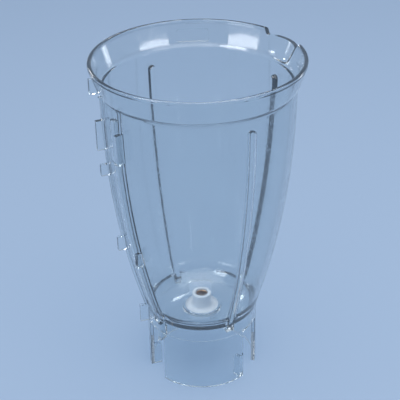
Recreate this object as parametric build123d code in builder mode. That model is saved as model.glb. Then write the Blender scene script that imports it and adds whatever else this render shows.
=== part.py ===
"""Clear moulded blender jar with its shaft bushing, in millimetres.

The jar stands on its skirt at z = 0 with its axis on Z. The pouring lip points along +X and the
handle rails run down the -X side. A drop is measured down from the rim, a height up from the foot.
"""

import os
from math import asin, degrees, radians, sqrt, tan

from build123d import *

# Bowl
jar_height = 237.0
rim_diameter = 140.0
belly_diameter = 127.8
belly_drop = 24.0
waist_height = 50.5
wall = 2.6
floor_height = 44.4
floor_thickness = 2.6
floor_round = 24.5

# Flared band under the rim, with a ledge inside for the lid
band_height = 16.0
band_step = 1.6
step_height = 2.5
ledge_height = 2.0
ledge_round = 2.5
rim_land = 2.4
rim_wall = 2.7
rim_round = 1.2

# Pouring lip: an oblique cone that leans out of the band, in a dip of the rim
lip_overhang = 2.5
lip_drop = 4.0
lip_lean = 4.0
lip_wall = 2.6
lip_top_radius = 28.6
lip_base_radius = 17.6
channel_round = 5.0
dip_width = 37.0
dip_slope = 1.5
dip_round = 2.5

# Ribs inside the bowl
rib_count = 4
rib_width = 5.5
rib_depth = 3.6
rib_drop = 29.5

# Skirt with its slots and turning lugs, a little thicker above the slots
skirt_diameter = 78.6
skirt_wall = 2.5
socket_step = 0.5
slot_count = 3
slot_width = 19.0
slot_height = 40.0
slot_round = 2.0
lug_thickness = 2.5
lug_depth = 8.0
lug_height = 17.5
lug_round = 2.5

# Rails and hooks for a slide-on handle
rail_spacing = 23.6
rail_thickness = 2.2
rail_height = 1.3
rail_foot = 50.0
hook_thickness = 2.8
hook_reach = 6.2
upper_hook_drop = 52.5
upper_hook_length = 20.5
stop_hook_drop = 71.5
stop_hook_length = 8.0
lower_hook_height = 105.0
lower_hook_length = 10.5
foot_hook_height = 39.5
foot_hook_length = 13.5
rim_hook_drop = 13.0
rim_hook_length = 10.0
rim_hook_reach = 2.0

# Plain pad on the band and the shallow notch in the rim above it
pad_angle = 61.3
pad_width = 22.6
pad_height = 8.0
pad_rise = 4.7
pad_relief = 1.0
pad_round = 1.5
notch_top_width = 15.0
notch_base_width = 10.0
notch_drop = 2.8
notch_bite = 1.2

# Hub in the floor: a low ring round the recess that the bushing's flange sits in
hub_diameter = 27.6
hub_rise = 2.0
hub_round = 0.6

# Bushing and its bearing sleeve
shaft_diameter = 8.0
sleeve_wall = 1.0
sleeve_length = 12.8
sleeve_chamfer = 0.3
flange_diameter = 23.8
flange_edge = 1.4
flange_clearance = 0.15
flange_sink = 1.9
flare_height = 4.6
neck_diameter = 13.6
neck_height = 13.5
neck_round = 0.6
mouth_diameter = 9.1
mouth_depth = 1.5
stem_diameter = 18.0
stem_chamfer = 0.5
press_clearance = 0.03

# Places that follow from the sizes above
rim_radius = rim_diameter / 2
belly_radius = belly_diameter / 2
skirt_radius = skirt_diameter / 2
belly_height = jar_height - belly_drop
socket_radius = skirt_radius - skirt_wall
band_base = jar_height - band_height
lip_height = jar_height - lip_drop
rib_top = jar_height - rib_drop
floor_underside = floor_height - floor_thickness
hub_top = floor_height + hub_rise
flange_seat = hub_top - flange_sink - flange_edge
first_slot = 180.0 / slot_count
slot_half_angle = degrees(asin(slot_width / skirt_diameter))
rail_offset = rail_spacing / 2
neck_top = flange_seat + neck_height
sleeve_top = neck_top - mouth_depth
sleeve_diameter = shaft_diameter + 2 * sleeve_wall
on_base = (Align.CENTER, Align.CENTER, Align.MIN)

# The wall is one long arc, upright at the belly, that reaches the skirt's radius at the waist
wall_rise = belly_height - waist_height
wall_lean = belly_radius - skirt_radius
bend_radius = (wall_rise**2 + wall_lean**2) / (2 * wall_lean)
bend_centre = belly_radius - bend_radius


def wall_radius(height, inset):
    """Radius of the wall at a height, on the surface that lies inset inside its outer face."""
    return bend_centre + sqrt((bend_radius - inset) ** 2 - (belly_height - height) ** 2)


def bowl_section(inset, corner=0):
    """Half section out to the surface that lies inset inside the bowl's outer face."""
    share = inset / wall
    floor = floor_height - floor_thickness * (1 - share)
    middle = (floor + belly_height) / 2
    neck = band_base - step_height + share * (step_height - ledge_height)
    edge = rim_radius - share * rim_wall
    with BuildSketch(Plane.XZ) as section:
        with BuildLine():
            base = Line((0, floor), (wall_radius(floor, inset), floor))
            side = ThreePointArc(
                base @ 1, (wall_radius(middle, inset), middle), (belly_radius - inset, belly_height)
            )
            collar = Line(side @ 1, (belly_radius - inset, neck))
            step = Line(collar @ 1, (belly_radius + band_step - share * rim_wall, band_base))
            Polyline(
                step @ 1,
                (edge, jar_height - rim_land),
                (edge, jar_height),
                (0, jar_height),
                (0, floor),
            )
        make_face()
        for end in (step @ 0, step @ 1):
            fillet(section.vertices().sort_by_distance(end)[0], ledge_round)
        if corner > 0:
            fillet(section.vertices().sort_by_distance(base @ 1)[0], corner)
    return section.sketch


def lip_circle(inset, height):
    """Level section of the pouring lip's oblique cone, inset inside its outer face."""
    share = (height - band_base) / (lip_height - band_base)
    radius = lip_base_radius + share * (lip_top_radius - lip_base_radius)
    reach = rim_radius + lip_overhang - (1 - share) * lip_lean
    with BuildSketch(Plane((0, 0, height), x_dir=(-1, 0, 0))) as circle:
        with Locations((radius - reach, 0)):
            Circle(radius - inset)
    return circle.sketch


def dip_outline():
    """Outline, seen along the pouring direction, of the dip that the lip makes in the rim."""
    half = dip_width / 2
    above = jar_height + lip_drop
    with BuildSketch(Plane.YZ) as dip:
        with BuildLine():
            Polyline(
                (-rim_radius, above),
                (-rim_radius, jar_height),
                (-half, jar_height),
                (dip_slope - half, lip_height),
                (half - dip_slope, lip_height),
                (half, jar_height),
                (rim_radius, jar_height),
                (rim_radius, above),
                close=True,
            )
        make_face()
        fillet(dip.vertices().filter_by_position(Axis.X, -half, half), dip_round)
    return dip.sketch


def hook_plates(base, length, root, reach, sides=(-1, 1)):
    """Upright plates from the rails' place on a radius of root straight out to a radius of reach."""
    turn = degrees(asin(rail_offset / root))
    with Locations(*[Rotation(0, 0, 180 - side * turn) for side in sides]):
        with Locations((root - wall, 0, base)):
            Box(reach - root + wall, hook_thickness, length, align=(Align.MIN, Align.CENTER, Align.MIN))


def wall_hooks(base, length, sides=(-1, 1)):
    """Hooks that stand out of the bowl's wall from a height up."""
    root = wall_radius(base, 0)
    hook_plates(base, length, root, root + hook_reach, sides)


# Low rails that follow the wall from the skirt up to the band
with BuildPart() as rails:
    with Locations((0, -rail_offset, rail_foot), (0, rail_offset, rail_foot)):
        Box(
            rim_radius,
            rail_thickness,
            band_base - rail_foot,
            align=(Align.MAX, Align.CENTER, Align.MIN),
        )
    revolve(bowl_section(-rail_height), axis=Axis.Z, mode=Mode.INTERSECT)

# Hooks that stand out from the rails, with a stop and a rim hook on one side only
with BuildPart() as hooks:
    wall_hooks(jar_height - upper_hook_drop, upper_hook_length)
    wall_hooks(jar_height - stop_hook_drop, stop_hook_length, sides=(1,))
    wall_hooks(lower_hook_height, lower_hook_length)
    hook_plates(foot_hook_height, foot_hook_length, skirt_radius, skirt_radius + hook_reach)
    hook_plates(
        jar_height - rim_hook_drop,
        rim_hook_length,
        belly_radius,
        rim_radius + rim_hook_reach,
        sides=(1,),
    )

# Plain pad on the outside of the band
with BuildPart() as pad:
    with BuildSketch(Plane.YZ):
        with Locations((0, band_base + pad_rise)):
            RectangleRounded(pad_width, pad_height, pad_round)
    extrude(amount=2 * rim_radius)
    revolve(bowl_section(-pad_relief), axis=Axis.Z, mode=Mode.INTERSECT)

# Shallow notch inside the rim, above the pad
with BuildPart() as notch:
    with BuildSketch(Plane.YZ):
        with BuildLine():
            Polyline(
                (-notch_base_width / 2, jar_height - notch_drop),
                (notch_base_width / 2, jar_height - notch_drop),
                (notch_top_width / 2, jar_height),
                (-notch_top_width / 2, jar_height),
                close=True,
            )
        make_face()
    extrude(amount=2 * rim_radius)
    revolve(bowl_section(wall - notch_bite), axis=Axis.Z, mode=Mode.INTERSECT)

# One inner rib with a round nose and a domed top, that follows the wall down to the floor
rib_nose = rib_depth - rib_width / 2
with BuildPart() as rib:
    rib_middle = (rib_top + floor_height) / 2
    with BuildLine(Plane.XZ) as rib_path:
        ThreePointArc(
            (wall_radius(rib_top, wall), rib_top),
            (wall_radius(rib_middle, wall), rib_middle),
            (wall_radius(floor_height, wall), floor_height),
        )
    with BuildSketch(Plane(rib_path.line @ 0, x_dir=(-1, 0, 0), z_dir=(0, 0, -1))):
        with Locations((rib_nose, 0)):
            Circle(rib_width / 2)
            Rectangle(rib_nose + wall, rib_width, align=(Align.MAX, Align.CENTER))
    sweep(path=rib_path.line)
    with Locations(rib_path.line @ 0 - Vector(rib_nose, 0, 0)):
        Sphere(rib_width / 2)
        Cylinder(rib_width / 2, rib_nose + wall, rotation=(0, 90, 0), align=on_base)
    revolve(bowl_section(wall / 2), axis=Axis.Z, mode=Mode.INTERSECT)

# Cutter for one slot of the skirt, with radial sides
with BuildPart() as slot:
    slot_end = 2 * skirt_radius
    slot_spread = slot_end * tan(radians(slot_half_angle))
    with BuildSketch():
        with BuildLine():
            Polyline((0, 0), (slot_end, -slot_spread), (slot_end, slot_spread), close=True)
        make_face()
        Circle(skirt_radius - 2 * skirt_wall, mode=Mode.SUBTRACT)
    extrude(amount=slot_height)
    slot_top = slot.edges().group_by(Axis.Z)[-1].filter_by(GeomType.LINE)
    fillet(slot_top.sort_by(Axis.X)[:2], slot_round)

# Turning lug that stands inward at one side of a slot
with BuildPart() as lug:
    with Locations((skirt_radius - skirt_wall / 2, 0, 0)):
        Box(
            lug_depth - skirt_wall / 2,
            lug_thickness,
            lug_height,
            align=(Align.MAX, Align.MAX, Align.MIN),
        )
    fillet(lug.edges().filter_by(Axis.Y).group_by(Axis.Z)[-1].sort_by(Axis.X)[0], lug_round)

# Space inside the skirt, up to the rounded underside of the floor
with BuildPart() as socket:
    Cylinder(socket_radius, slot_height, align=on_base)
    Cylinder(socket_radius - socket_step, floor_height + floor_round, align=on_base)
    revolve(bowl_section(0, floor_round + floor_thickness), axis=Axis.Z, mode=Mode.SUBTRACT)

# Low ring on the floor, round the recess for the bushing's flange
with BuildPart() as hub:
    with Locations((0, 0, floor_height - floor_thickness / 2)):
        Cylinder(hub_diameter / 2, hub_rise + floor_thickness / 2, align=on_base)
    fillet(hub.edges().group_by(Axis.Z)[-1], hub_round)

# Outside and channel of the pouring lip
with BuildPart() as lip:
    loft([lip_circle(0, band_base - lip_wall), lip_circle(0, lip_height)])
    fillet(lip.edges().group_by(Axis.Z)[0], channel_round + lip_wall)

with BuildPart() as channel:
    loft([lip_circle(lip_wall, band_base), lip_circle(lip_wall, jar_height + lip_drop)])
    fillet(channel.edges().group_by(Axis.Z)[0], channel_round)

# The jar, moulded in one piece
with BuildPart() as jar:
    revolve(bowl_section(0), axis=Axis.Z)
    fillet(jar.edges().filter_by(GeomType.CIRCLE).group_by(Axis.Z)[-1], rim_round)
    add(lip.part)
    Cylinder(skirt_radius, floor_height + floor_round, align=on_base)
    add(rails.part)
    add(hooks.part)
    with Locations(Rotation(0, 0, pad_angle)):
        add(pad.part)
    add(socket.part, mode=Mode.SUBTRACT)
    revolve(bowl_section(wall, floor_round), axis=Axis.Z, mode=Mode.SUBTRACT)
    rim_edges = jar.edges().filter_by(GeomType.CIRCLE).group_by(Axis.Z)[-1]
    fillet(rim_edges.sort_by(SortBy.RADIUS)[0], rim_round)
    add(channel.part, mode=Mode.SUBTRACT)
    extrude(dip_outline(), amount=2 * rim_radius, mode=Mode.SUBTRACT)
    with Locations(Rotation(0, 0, pad_angle)):
        add(notch.part, mode=Mode.SUBTRACT)
    with PolarLocations(0, rib_count):
        add(rib.part)
    with PolarLocations(0, slot_count, start_angle=first_slot):
        add(slot.part, mode=Mode.SUBTRACT)
    with PolarLocations(0, slot_count, start_angle=first_slot - slot_half_angle):
        add(lug.part)
    add(hub.part)
    with Locations((0, 0, hub_top)):
        CounterBoreHole(
            radius=stem_diameter / 2 + press_clearance,
            counter_bore_radius=flange_diameter / 2 + flange_clearance,
            counter_bore_depth=flange_sink + flange_edge,
        )

jar.part.label = "jar"

# White bushing: a flared flange and neck inside the bowl, and a stem through the floor
with BuildPart() as shaft_bushing:
    with BuildSketch(Plane.XZ):
        with BuildLine():
            foot = Polyline(
                (0, floor_underside),
                (stem_diameter / 2, floor_underside),
                (stem_diameter / 2, flange_seat),
                (flange_diameter / 2, flange_seat),
                (flange_diameter / 2, hub_top),
            )
            flare = TangentArc(
                (neck_diameter / 2, flange_seat + flare_height), foot @ 1, tangent=(0, -1)
            )
            Polyline(flare @ 0, (neck_diameter / 2, neck_top), (0, neck_top), (0, floor_underside))
        make_face()
    revolve(axis=Axis.Z)
    fillet(shaft_bushing.edges().group_by(Axis.Z)[-1], neck_round)
    chamfer(shaft_bushing.edges().group_by(Axis.Z)[0], stem_chamfer)
    with Locations((0, 0, floor_underside)):
        Hole(mouth_diameter / 2)
        Cylinder(
            sleeve_diameter / 2 + press_clearance,
            sleeve_top - floor_underside,
            align=on_base,
            mode=Mode.SUBTRACT,
        )

shaft_bushing.part.label = "shaft_bushing"

# Porous bronze sleeve that carries the blade shaft, pressed in up to the bushing's mouth
with BuildPart() as bearing_sleeve:
    with Locations((0, 0, sleeve_top - sleeve_length)):
        Cylinder(sleeve_diameter / 2, sleeve_length, align=on_base)
        Hole(shaft_diameter / 2)
    chamfer(bearing_sleeve.edges().filter_by(GeomType.CIRCLE), sleeve_chamfer)

bearing_sleeve.part.label = "bearing_sleeve"

os.makedirs("parts", exist_ok=True)
export_step(jar.part, "parts/jar.step")
export_step(shaft_bushing.part, "parts/shaft_bushing.step")
export_step(bearing_sleeve.part, "parts/bearing_sleeve.step")
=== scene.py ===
"""A clear moulded blender jar with a white shaft bushing in its floor, on a pale studio floor."""
from math import cos, pi, radians, sin

import bmesh
import bpy
import numpy as np
from mathutils import Matrix, Vector


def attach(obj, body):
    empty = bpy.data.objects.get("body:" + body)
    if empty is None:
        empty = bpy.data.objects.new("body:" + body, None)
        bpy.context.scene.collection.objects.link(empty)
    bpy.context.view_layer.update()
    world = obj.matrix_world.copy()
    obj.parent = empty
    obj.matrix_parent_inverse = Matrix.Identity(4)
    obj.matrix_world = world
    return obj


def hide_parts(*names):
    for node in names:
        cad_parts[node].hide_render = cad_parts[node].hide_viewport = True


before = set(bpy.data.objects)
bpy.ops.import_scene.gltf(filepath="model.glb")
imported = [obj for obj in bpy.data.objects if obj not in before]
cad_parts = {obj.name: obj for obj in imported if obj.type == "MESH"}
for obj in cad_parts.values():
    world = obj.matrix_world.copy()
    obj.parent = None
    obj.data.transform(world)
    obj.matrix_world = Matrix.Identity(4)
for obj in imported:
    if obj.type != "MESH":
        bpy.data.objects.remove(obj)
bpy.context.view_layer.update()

# Camera at the photograph's viewing angle, in degrees, metres and millimetres of lens and sensor
eye_azimuth = -121.5
eye_lift = 30.15
eye_roll = -0.99
eye_distance = 0.7035
eye_aim = Vector((0, 0, 0.1322))
lens_length = 92.62
sensor_width = 36.0

# Studio, in metres
floor_radius = 6.0
floor_gap = 0.0004
lamp_aim = Vector((0, 0, 0.12))

# Shading of the turned faces: metres off a line or circle, metres between merged points, and how
# well a worked-out normal agrees with the mesh's own before it is used
near_enough = 0.00001
merge_distance = 0.000001
least_agreement = 0.8

# Places of the colour sockets on a mix node
mix_first, mix_second, mix_result = 6, 7, 2


# Small helpers for node trees

def add_node(tree, kind, place=(0, 0), inputs=None, **settings):
    """A new node of a kind, with its properties and unlinked inputs set."""
    node = tree.nodes.new(kind)
    node.location = place
    for name, value in settings.items():
        setattr(node, name, value)
    for name, value in (inputs or {}).items():
        node.inputs[name].default_value = value
    return node


def join(tree, source, target, output=0):
    """Link a node's output, by its number or name, to an input socket."""
    tree.links.new(source.outputs[output], target)


def sum_of(tree, place, value, factor, base):
    """Node that gives value times factor plus base, where base is a node or a number."""
    node = add_node(tree, "ShaderNodeMath", place, operation="MULTIPLY_ADD")
    join(tree, value, node.inputs[0])
    node.inputs[1].default_value = factor
    if isinstance(base, float):
        node.inputs[2].default_value = base
    else:
        join(tree, base, node.inputs[2])
    return node


def two_tones(tree, place, mask, first, second):
    """Colour that goes from a first tone, which may be such a node, to a second by a mask."""
    node = add_node(tree, "ShaderNodeMix", place, data_type="RGBA")
    join(tree, mask, node.inputs[0])
    if isinstance(first, tuple):
        node.inputs[mix_first].default_value = (*first, 1.0)
    else:
        join(tree, first, node.inputs[mix_first], mix_result)
    node.inputs[mix_second].default_value = (*second, 1.0)
    return node


def two_shaders(tree, place, first, second):
    """Mix of a first shader and a second, whose share is still to be set."""
    node = add_node(tree, "ShaderNodeMixShader", place)
    join(tree, first, node.inputs[1])
    join(tree, second, node.inputs[2])
    return node


def empty_group(name, sizes, result):
    """A node group that reads a place and named sizes, and gives one value."""
    tree = bpy.data.node_groups.new(name, "ShaderNodeTree")
    tree.interface.new_socket("Place", in_out="INPUT", socket_type="NodeSocketVector")
    for label in sizes:
        tree.interface.new_socket(label, in_out="INPUT", socket_type="NodeSocketFloat")
    tree.interface.new_socket(result, in_out="OUTPUT", socket_type="NodeSocketFloat")
    given = add_node(tree, "NodeGroupInput", (-900, 0))
    given_out = add_node(tree, "NodeGroupOutput", (900, 0))
    return tree, given, given_out


def empty_material(name):
    """A material whose tree holds its output and the object's own coordinates."""
    material = bpy.data.materials.new(name)
    material.use_nodes = True
    tree = material.node_tree
    tree.nodes.clear()
    out = add_node(tree, "ShaderNodeOutputMaterial", (1100, 0))
    where = add_node(tree, "ShaderNodeTexCoord", (-1100, 0))
    return material, tree, where, out


def use_group(tree, group, where, place, **sizes):
    """A node group set on a material's object coordinates, with its sizes."""
    node = add_node(tree, "ShaderNodeGroup", place, inputs=sizes, node_tree=group)
    join(tree, where, node.inputs["Place"], "Object")
    return node


def bump(tree, place, height, depth, below=None):
    """Relief from a height of 0 to 1, in metres deep, on top of another relief."""
    node = add_node(tree, "ShaderNodeBump", place, inputs={"Strength": 1.0, "Distance": depth})
    join(tree, height, node.inputs["Height"])
    if below is not None:
        join(tree, below, node.inputs["Normal"])
    return node


# Effects that the finishes share

def mould_cloud_group():
    """Slow uneven clouds from 0 to 1, as the skin of a moulding or a casting has."""
    tree, given, result = empty_group("mould_cloud", ("Patches",), "Cloud")
    noise = add_node(tree, "ShaderNodeTexNoise", (-500, 0), inputs={"Detail": 2.0, "Roughness": 0.5})
    spread = add_node(tree, "ShaderNodeMapRange", (-200, 0), interpolation_type="SMOOTHSTEP",
                      inputs={"From Min": 0.3, "From Max": 0.7})
    join(tree, given, noise.inputs["Vector"], "Place")
    join(tree, given, noise.inputs["Scale"], "Patches")
    join(tree, noise, spread.inputs["Value"])
    join(tree, spread, result.inputs["Cloud"])
    return tree


def hairline_group():
    """Sparse short hairlines in three directions, from wiping and washing."""
    line_turns = ((20, 65, 10), (75, -15, 50), (-35, 30, 110))
    line_stretch = (1.0, 0.035, 0.3)
    line_edge = 0.06
    row_step = 200
    tree, given, result = empty_group("hairlines", ("Lines", "Threshold"), "Mask")
    top = add_node(tree, "ShaderNodeMath", (-700, -400), operation="ADD")
    join(tree, given, top.inputs[0], "Threshold")
    top.inputs[1].default_value = line_edge
    last = None
    for index, turn in enumerate(line_turns):
        row = 300 - row_step * index
        lie = add_node(tree, "ShaderNodeMapping", (-700, row), inputs={
            "Rotation": [radians(angle) for angle in turn],
            "Scale": line_stretch,
        })
        noise = add_node(tree, "ShaderNodeTexNoise", (-450, row), inputs={"Detail": 1.0})
        line = add_node(tree, "ShaderNodeMapRange", (-200, row))
        join(tree, given, lie.inputs["Vector"], "Place")
        join(tree, lie, noise.inputs["Vector"])
        join(tree, given, noise.inputs["Scale"], "Lines")
        join(tree, noise, line.inputs["Value"])
        join(tree, given, line.inputs["From Min"], "Threshold")
        join(tree, top, line.inputs["From Max"])
        if last is None:
            last = line
            continue
        most = add_node(tree, "ShaderNodeMath", (100 + row_step * index, 0), operation="MAXIMUM")
        join(tree, last, most.inputs[0])
        join(tree, line, most.inputs[1])
        last = most
    join(tree, last, result.inputs["Mask"])
    return tree


def fine_pits_group():
    """Small round pits, each deepest at its middle."""
    tree, given, result = empty_group("fine_pits", ("Pits", "Width"), "Mask")
    cells = add_node(tree, "ShaderNodeTexVoronoi", (-500, 0), inputs={"Randomness": 1.0})
    pit = add_node(tree, "ShaderNodeMapRange", (-200, 0), interpolation_type="SMOOTHSTEP",
                   inputs={"From Min": 0.0, "To Min": 1.0, "To Max": 0.0})
    join(tree, given, cells.inputs["Vector"], "Place")
    join(tree, given, cells.inputs["Scale"], "Pits")
    join(tree, cells, pit.inputs["Value"], "Distance")
    join(tree, given, pit.inputs["From Max"], "Width")
    join(tree, pit, result.inputs["Mask"])
    return tree


mould_cloud = mould_cloud_group()
hairlines = hairline_group()
fine_pits = fine_pits_group()


# Finishes

def clear_plastic():
    """Polished clear plastic, faintly rippled and hazed, that lets light through to what is behind it.

    A share of the light that runs round inside a thick edge leaks out, so that no edge goes black."""
    material, tree, where, out = empty_material("clear_plastic")
    haze = use_group(tree, mould_cloud, where, (-800, 300), Patches=22.0)
    ripple = use_group(tree, mould_cloud, where, (-800, -100), Patches=40.0)
    wiped = use_group(tree, hairlines, where, (-800, -500), Lines=1500.0, Threshold=0.66)
    gloss = sum_of(tree, (-500, 300), haze, factor=0.02, base=0.012)
    gloss = sum_of(tree, (-250, 300), wiped, factor=0.1, base=gloss)
    tint = two_tones(tree, (-500, 600), haze, first=(0.85, 0.89, 0.905), second=(0.835, 0.875, 0.895))
    relief = bump(tree, (-500, -100), ripple, depth=0.000004)
    relief = bump(tree, (-250, -300), wiped, depth=0.000002, below=relief)
    shell = add_node(tree, "ShaderNodeBsdfPrincipled", (100, 0), inputs={
        "IOR": 1.57,
        "Transmission Weight": 1.0,
    })
    join(tree, tint, shell.inputs["Base Color"], mix_result)
    join(tree, gloss, shell.inputs["Roughness"])
    join(tree, relief, shell.inputs["Normal"])
    see = add_node(tree, "ShaderNodeBsdfTransparent", (100, -500), inputs={
        "Color": (0.87, 0.905, 0.93, 1.0),
    })
    leak = two_shaders(tree, (300, -300), shell, see)
    leak.inputs["Fac"].default_value = 0.05
    inside = two_shaders(tree, (500, 0), shell, leak)
    lamp = two_shaders(tree, (700, 0), inside, see)
    spread = two_shaders(tree, (900, 0), lamp, see)
    light = add_node(tree, "ShaderNodeLightPath", (100, 500))
    join(tree, light, inside.inputs["Fac"], "Is Reflection Ray")
    join(tree, light, lamp.inputs["Fac"], "Is Shadow Ray")
    join(tree, light, spread.inputs["Fac"], "Is Diffuse Ray")
    join(tree, spread, out.inputs["Surface"])
    return material


def white_acetal():
    """Natural white acetal with a satin moulded skin and faint turning rings."""
    material, tree, where, out = empty_material("white_acetal")
    cloud = use_group(tree, mould_cloud, where, (-800, 300), Patches=180.0)
    grain = use_group(tree, fine_pits, where, (-800, 0), Pits=2200.0, Width=0.5)
    wiped = use_group(tree, hairlines, where, (-800, -300), Lines=2600.0, Threshold=0.64)
    rings = add_node(tree, "ShaderNodeTexWave", (-800, -600), wave_type="RINGS", rings_direction="Z",
                     inputs={"Scale": 420.0, "Distortion": 0.6, "Detail": 1.0, "Detail Scale": 0.4})
    join(tree, where, rings.inputs["Vector"], "Object")
    tone = two_tones(tree, (-400, 400), cloud, first=(0.64, 0.66, 0.69), second=(0.58, 0.60, 0.635))
    satin = sum_of(tree, (-400, 100), cloud, factor=0.08, base=0.36)
    satin = sum_of(tree, (-200, 100), wiped, factor=0.14, base=satin)
    relief = bump(tree, (-400, -200), rings, depth=0.000012)
    relief = bump(tree, (-200, -200), grain, depth=0.000008, below=relief)
    body = add_node(tree, "ShaderNodeBsdfPrincipled", (200, 0), inputs={
        "Subsurface Weight": 0.2,
        "Subsurface Radius": (0.9, 0.95, 1.0),
        "Subsurface Scale": 0.0015,
        "IOR": 1.48,
    })
    join(tree, tone, body.inputs["Base Color"], mix_result)
    join(tree, satin, body.inputs["Roughness"])
    join(tree, relief, body.inputs["Normal"])
    join(tree, body, out.inputs["Surface"])
    return material


def oiled_bronze():
    """Porous sintered bronze, dark with oil, with fine pores and drawn hairlines; the pores are
    darkened in colour as painted shade.
    """
    material, tree, where, out = empty_material("oiled_bronze")
    oil = use_group(tree, mould_cloud, where, (-800, 300), Patches=260.0)
    pores = use_group(tree, fine_pits, where, (-800, 0), Pits=2600.0, Width=0.38)
    drawn = use_group(tree, hairlines, where, (-800, -300), Lines=3200.0, Threshold=0.6)
    tone = two_tones(tree, (-500, 400), oil, first=(0.56, 0.33, 0.17), second=(0.36, 0.2, 0.1))
    # Painted shade: the colour goes darker towards the middle of each pore, as shade in the pits
    dark = two_tones(tree, (-250, 400), pores, first=tone, second=(0.12, 0.065, 0.035))
    satin = sum_of(tree, (-500, 100), oil, factor=-0.12, base=0.42)
    satin = sum_of(tree, (-250, 100), drawn, factor=0.15, base=satin)
    relief = bump(tree, (-500, -200), pores, depth=-0.00003)
    relief = bump(tree, (-250, -200), drawn, depth=0.000006, below=relief)
    body = add_node(tree, "ShaderNodeBsdfPrincipled", (200, 0), inputs={"Metallic": 1.0})
    join(tree, dark, body.inputs["Base Color"], mix_result)
    join(tree, satin, body.inputs["Roughness"])
    join(tree, relief, body.inputs["Normal"])
    join(tree, body, out.inputs["Surface"])
    return material


# Pieces

def faces_of_solid(corners, count):
    """Groups of triangles that share points, which are the faces that the solid was made of."""
    parent = list(range(count))

    def first(point):
        while parent[point] != point:
            parent[point] = parent[parent[point]]
            point = parent[point]
        return point

    for one, two, three in corners.tolist():
        root = first(one)
        parent[first(two)] = root
        parent[first(three)] = root
    owner = np.array([first(point) for point in corners[:, 0].tolist()])
    order = np.argsort(owner, kind="stable")
    return np.split(order, np.flatnonzero(np.diff(owner[order])) + 1)


def turned_slope(radius, height):
    """Radial and upward part of the normal at each point of a turned face, or None for another face.

    The section of a turned face is a straight line or an arc of a circle."""
    middle = np.array((radius.mean(), height.mean()))
    section = np.stack((radius, height), axis=1) - middle
    across = np.linalg.svd(section, full_matrices=False)[2][1]
    if np.abs(section @ across).max() < near_enough:
        return np.broadcast_to(across, section.shape)
    known = np.column_stack((2 * section, np.ones(len(section))))
    centre = np.linalg.lstsq(known, (section ** 2).sum(axis=1), rcond=None)[0][:2]
    spoke = section - centre
    reach = np.linalg.norm(spoke, axis=1)
    if np.abs(reach - reach.mean()).max() < near_enough:
        return spoke / reach[:, None]
    return None


def true_normals(mesh):
    """Shading normal of each corner: exact where a face is turned about the upright axis.

    A small flat face can pass for a turned one, so a normal far from the mesh's own is left out."""
    points = np.empty((len(mesh.vertices), 3), np.float32)
    mesh.vertices.foreach_get("co", points.ravel())
    corners = np.empty((len(mesh.polygons), 3), np.int32)
    mesh.loops.foreach_get("vertex_index", corners.ravel())
    normals = np.empty((len(mesh.loops), 3), np.float32)
    mesh.corner_normals.foreach_get("vector", normals.ravel())
    normals = normals.reshape(-1, 3, 3)
    points = points.astype(float)
    for face in faces_of_solid(corners, len(points)):
        place = points[corners[face]].reshape(-1, 3)
        radius = np.hypot(place[:, 0], place[:, 1])
        slope = turned_slope(radius, place[:, 2])
        if slope is None or radius.min() < near_enough:
            continue
        outward = place[:, :2] / radius[:, None]
        exact = np.column_stack((slope[:, :1] * outward, slope[:, 1]))
        rough = normals[face].reshape(-1, 3)
        agreement = (exact * rough).sum(axis=1).mean()
        if abs(agreement) < least_agreement:
            continue
        normals[face] = (exact * np.sign(agreement)).reshape(-1, 3, 3)
    return normals.reshape(-1, 3)


def smooth_copy(node, name):
    """A merged copy of a CAD node, shaded with the true normals of its faces."""
    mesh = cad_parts[node].data.copy()
    kept = mesh.attributes.new("true_normal", "FLOAT_VECTOR", "CORNER")
    kept.data.foreach_set("vector", true_normals(mesh).ravel())
    form = bmesh.new()
    form.from_mesh(mesh)
    bmesh.ops.remove_doubles(form, verts=form.verts, dist=merge_distance)
    for face in form.faces:
        face.smooth = True
    for edge in form.edges:
        edge.smooth = True
    form.to_mesh(mesh)
    form.free()
    normals = np.empty((len(mesh.loops), 3), np.float32)
    mesh.attributes["true_normal"].data.foreach_get("vector", normals.ravel())
    mesh.attributes.remove(mesh.attributes["true_normal"])
    mesh.normals_split_custom_set(normals.tolist())
    mesh.materials.clear()
    piece = bpy.data.objects.new(name, mesh)
    bpy.context.scene.collection.objects.link(piece)
    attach(piece, "root")
    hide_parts(node)
    return piece


jar_shell = smooth_copy("jar", "clear_jar")
jar_shell.data.materials.append(clear_plastic())

bushing = smooth_copy("shaft_bushing", "white_bushing")
bushing.data.materials.append(white_acetal())

sleeve = smooth_copy("bearing_sleeve", "bronze_sleeve")
sleeve.data.materials.append(oiled_bronze())


# Studio

def pale_floor():
    """A wide plain floor under the foot."""
    mesh = bpy.data.meshes.new("floor")
    form = bmesh.new()
    bmesh.ops.create_circle(form, cap_ends=True, segments=96, radius=floor_radius)
    form.to_mesh(mesh)
    form.free()
    floor = bpy.data.objects.new("floor", mesh)
    bpy.context.scene.collection.objects.link(floor)
    material, tree, _, out = empty_material("pale_floor")
    paint = add_node(tree, "ShaderNodeBsdfPrincipled", (300, 0), inputs={
        "Base Color": (0.42, 0.53, 0.68, 1.0),
        "Roughness": 0.7,
        "Specular IOR Level": 0.2,
    })
    join(tree, paint, out.inputs["Surface"])
    mesh.materials.append(material)
    floor.location.z = -floor_gap


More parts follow.
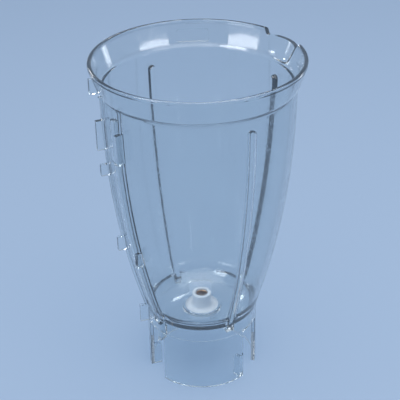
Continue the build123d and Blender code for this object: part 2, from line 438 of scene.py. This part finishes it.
def soft_room():
    """A pale sweep all round, as the floor is, and a dark ceiling."""
    stops = (
        (0.0, (0.38, 0.48, 0.62)),
        (0.6, (0.36, 0.45, 0.58)),
        (0.8, (0.20, 0.25, 0.32)),
        (1.0, (0.17, 0.21, 0.27)),
    )
    world = bpy.data.worlds.new("room")
    bpy.context.scene.world = world
    world.use_nodes = True
    tree = world.node_tree
    back = tree.nodes["Background"]
    place = add_node(tree, "ShaderNodeTexCoord", (-600, 0))
    parts = add_node(tree, "ShaderNodeSeparateXYZ", (-400, 0))
    ramp = add_node(tree, "ShaderNodeValToRGB", (-200, 0))
    while len(ramp.color_ramp.elements) < len(stops):
        ramp.color_ramp.elements.new(0.5)
    for stop, (position, colour) in zip(ramp.color_ramp.elements, stops):
        stop.position = position
        stop.color = (*colour, 1)
    join(tree, place, parts.inputs[0], "Generated")
    join(tree, parts, ramp.inputs[0], "Z")
    join(tree, ramp, back.inputs["Color"])


def direction(azimuth, lift):
    """Unit vector at an angle round the upright axis and an angle up from level, in degrees."""
    turn, rise = radians(azimuth), radians(lift)
    return Vector((cos(rise) * cos(turn), cos(rise) * sin(turn), sin(rise)))


def softbox(name, around, up, size, glow, away=1.4, swing=0, lit=None):
    """A soft lamp at angles round from the eye and up, turned to face the jar or swung aside.

    It lights everything, or the pieces of a collection alone."""
    lamp = bpy.data.lights.new(name, "AREA")
    lamp.shape = "RECTANGLE"
    lamp.size, lamp.size_y = size
    lamp.energy = glow * pi * size[0] * size[1]
    holder = bpy.data.objects.new(name, lamp)
    offset = away * direction(eye_azimuth + around, up)
    facing = Matrix.Rotation(radians(swing), 3, "Z") @ -offset
    turned = facing.to_track_quat("-Z", "Y").to_matrix().to_4x4()
    holder.matrix_world = Matrix.Translation(lamp_aim + offset) @ turned
    holder.light_linking.receiver_collection = lit
    bpy.context.scene.collection.objects.link(holder)


def photo_camera():
    """The camera that takes in the jar as the photograph does."""
    lens = bpy.data.cameras.new("camera")
    lens.sensor_width = sensor_width
    lens.lens = lens_length
    lens.clip_start = 0.01
    camera = bpy.data.objects.new("camera", lens)
    away = direction(eye_azimuth, eye_lift)
    level = direction(eye_azimuth + 90, 0)
    roll = radians(eye_roll)
    right = level * cos(roll) + away.cross(level) * sin(roll)
    top = away.cross(right)
    turned = Matrix((right, top, away)).transposed().to_4x4()
    camera.matrix_world = Matrix.Translation(eye_aim + eye_distance * away) @ turned
    bpy.context.scene.collection.objects.link(camera)
    bpy.context.scene.camera = camera


pale_floor()
soft_room()
jar_pieces = bpy.data.collections.new("jar_pieces")
for piece in (jar_shell, bushing, sleeve):
    jar_pieces.objects.link(piece)
softbox("left_softbox", around=-60, up=12.9, size=(1.1, 0.17), glow=5, swing=38, lit=jar_pieces)
softbox("right_softbox", around=57, up=12.9, size=(1.1, 0.17), glow=5, swing=-38, lit=jar_pieces)
softbox("left_strip", around=-128, up=1.5, size=(0.22, 0.26), glow=5, lit=jar_pieces)
softbox("right_strip", around=124, up=1.5, size=(0.22, 0.26), glow=5, lit=jar_pieces)
softbox("back_softbox", around=170, up=41, size=(0.3, 0.14), glow=8, away=1.5, lit=jar_pieces)
softbox("back_left_softbox", around=-144, up=25, size=(0.2, 0.36), glow=12, away=1.5, lit=jar_pieces)
softbox("high_left_softbox", around=-56, up=47, size=(0.6, 0.45), glow=8, lit=jar_pieces)
softbox("top_softbox", around=20, up=78, size=(2.4, 2.4), glow=2, away=1.9)
photo_camera()
bpy.context.scene.view_settings.view_transform = "Standard"
